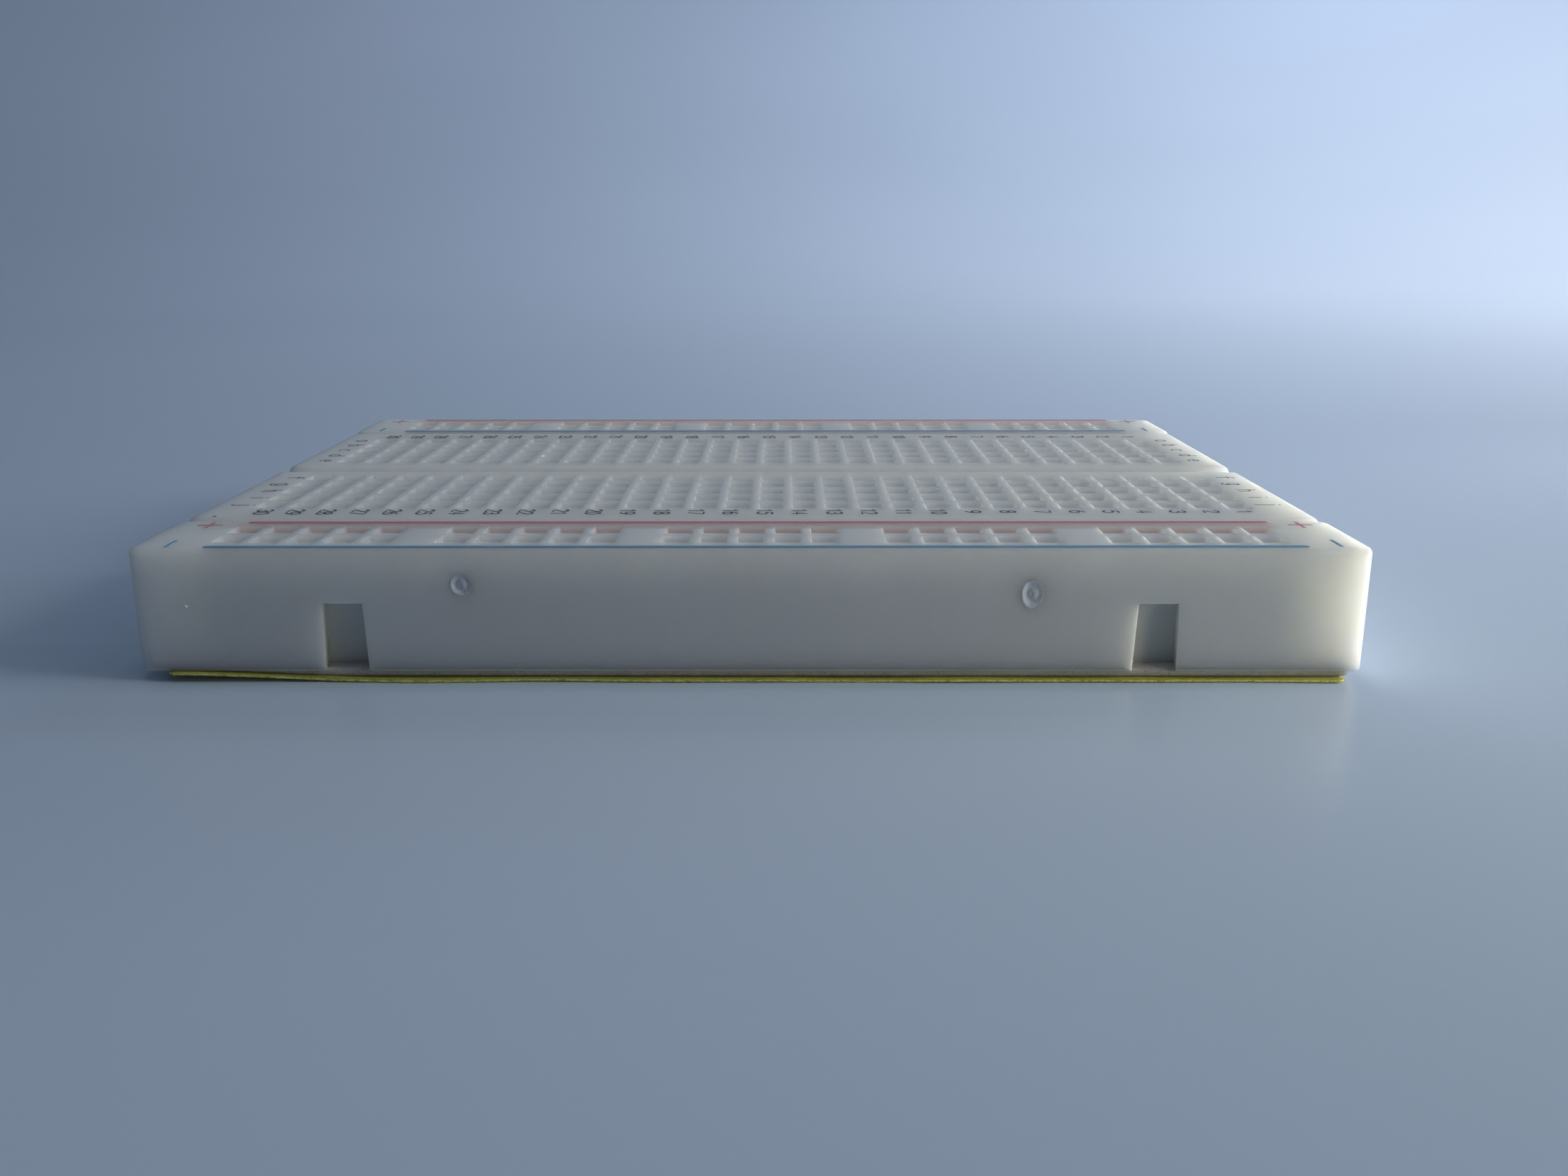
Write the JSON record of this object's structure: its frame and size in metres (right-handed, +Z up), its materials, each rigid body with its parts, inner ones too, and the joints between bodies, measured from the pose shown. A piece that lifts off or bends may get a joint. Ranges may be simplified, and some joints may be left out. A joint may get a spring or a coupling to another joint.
{
  "type": "solderless breadboard",
  "caption": "Half-size solderless breadboard: numbered terminal strip with a centre ravine between dovetailed bus rails, sprung contacts inside, foam tape and a peel-off liner underneath.",
  "frame": {"origin": "centre of the release liner's underside, the plane the board rests on, midway along the numbered columns and under the middle of the ravine", "axes": "+X along the numbered columns towards column 1; +Y from the front rail to the rear rail, from row j to row a; +Z up out of the hole face"},
  "size_m": [0.0834, 0.0561, 0.0093],
  "materials": {
    "ivory_abs": "fine satin, slightly translucent moulded ABS",
    "contact_bronze": "nickel-plated phosphor bronze spring sheet",
    "foam_tape": "grey closed-cell foam tape",
    "waxed_liner": "yellow waxed release paper"
  },
  "bodies": {
    "liner": {"release_liner": "waxed_liner"},
    "front_rail": {"front_rail_housing": "ivory_abs", "front_rail_foam_pad": "foam_tape", "front_rail_minus_contact": "contact_bronze", "front_rail_plus_contact": "contact_bronze"},
    "terminal_strip": {"terminal_strip_housing": "ivory_abs", "terminal_strip_foam_pad": "foam_tape", "column_01_contacts": "contact_bronze", "column_02_contacts": "contact_bronze", "column_03_contacts": "contact_bronze", "column_04_contacts": "contact_bronze", "column_05_contacts": "contact_bronze", "column_06_contacts": "contact_bronze", "column_07_contacts": "contact_bronze", "column_08_contacts": "contact_bronze", "column_09_contacts": "contact_bronze", "column_10_contacts": "contact_bronze", "column_11_contacts": "contact_bronze", "column_12_contacts": "contact_bronze", "column_13_contacts": "contact_bronze", "column_14_contacts": "contact_bronze", "column_15_contacts": "contact_bronze", "column_16_contacts": "contact_bronze", "column_17_contacts": "contact_bronze", "column_18_contacts": "contact_bronze", "column_19_contacts": "contact_bronze", "column_20_contacts": "contact_bronze", "column_21_contacts": "contact_bronze", "column_22_contacts": "contact_bronze", "column_23_contacts": "contact_bronze", "column_24_contacts": "contact_bronze", "column_25_contacts": "contact_bronze", "column_26_contacts": "contact_bronze", "column_27_contacts": "contact_bronze", "column_28_contacts": "contact_bronze", "column_29_contacts": "contact_bronze", "column_30_contacts": "contact_bronze"},
    "rear_rail": {"rear_rail_housing": "ivory_abs", "rear_rail_foam_pad": "foam_tape", "rear_rail_minus_contact": "contact_bronze", "rear_rail_plus_contact": "contact_bronze"}
  },
  "joints": [
    {"name": "board_peel", "type": "slide", "parent": "liner", "child": "front_rail", "axis": [0, 0, 1], "range_m": [0, 0.015]},
    {"name": "terminal_strip_lift", "type": "slide", "parent": "front_rail", "child": "terminal_strip", "axis": [0, 0, 1], "range_m": [0, 0.012]},
    {"name": "rear_rail_lift", "type": "slide", "parent": "terminal_strip", "child": "rear_rail", "axis": [0, 0, 1], "range_m": [0, 0.012]}
  ]
}
